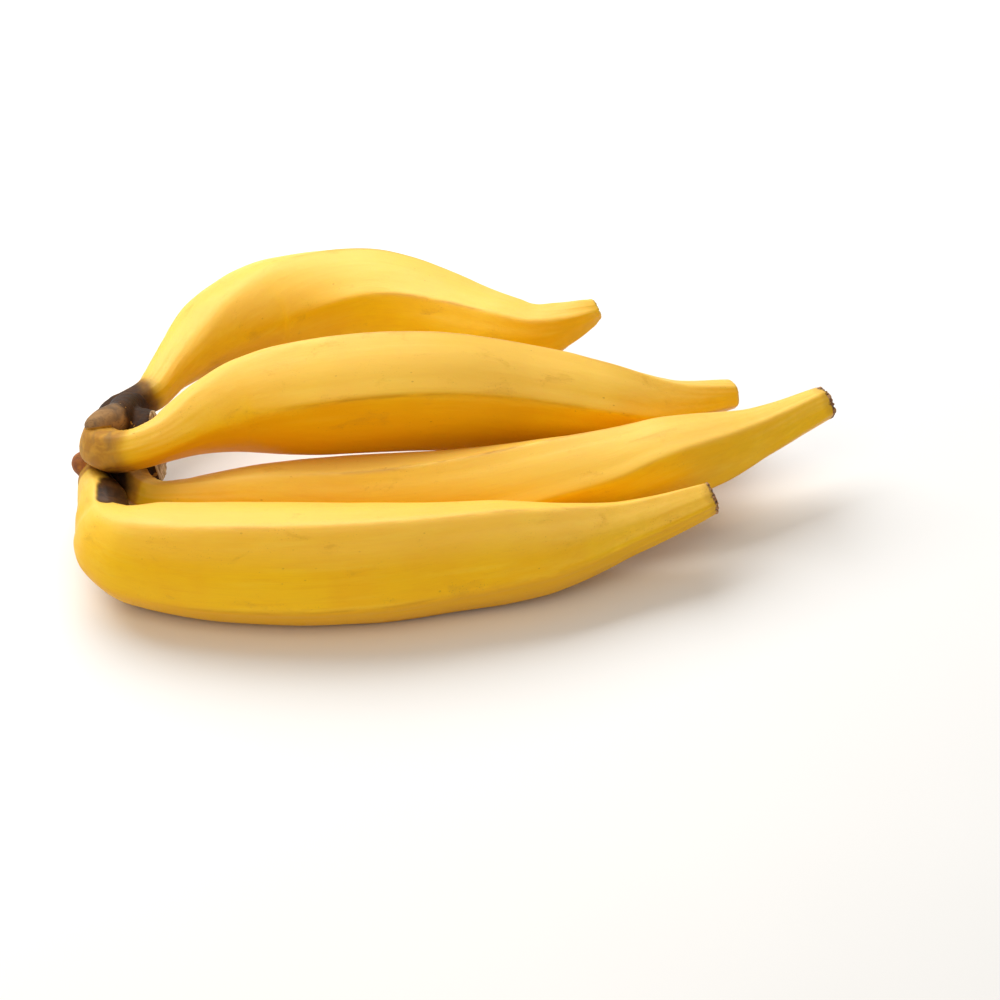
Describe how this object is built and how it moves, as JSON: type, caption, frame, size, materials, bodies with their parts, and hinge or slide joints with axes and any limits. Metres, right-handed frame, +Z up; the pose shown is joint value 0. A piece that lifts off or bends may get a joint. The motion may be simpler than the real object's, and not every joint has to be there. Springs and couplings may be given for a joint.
{
  "type": "bunch of bananas",
  "caption": "Hand of ripe plantain-type bananas: curved ridged fruits on short bent stalks grown together in one cut crown, lying on a flat surface.",
  "frame": {"origin": "on the surface that the bunch lies on, under the middle of its bounding box", "axes": "+Z up, +X from the crown towards the fruit tips, the front fruit on the -Y side"},
  "size_m": [0.2994, 0.2282, 0.0717],
  "materials": {
    "banana_peel": "smooth ripe yellow peel with soft ridges, fine lengthwise fibres and small brown specks",
    "cut_stem": "dark brown dried stem skin with a pale fibrous cut face"
  },
  "bodies": {
    "root": {"crown": "cut_stem", "banana_front": "banana_peel", "banana_middle": "banana_peel", "banana_top": "banana_peel", "banana_back": "banana_peel"}
  },
  "joints": []
}
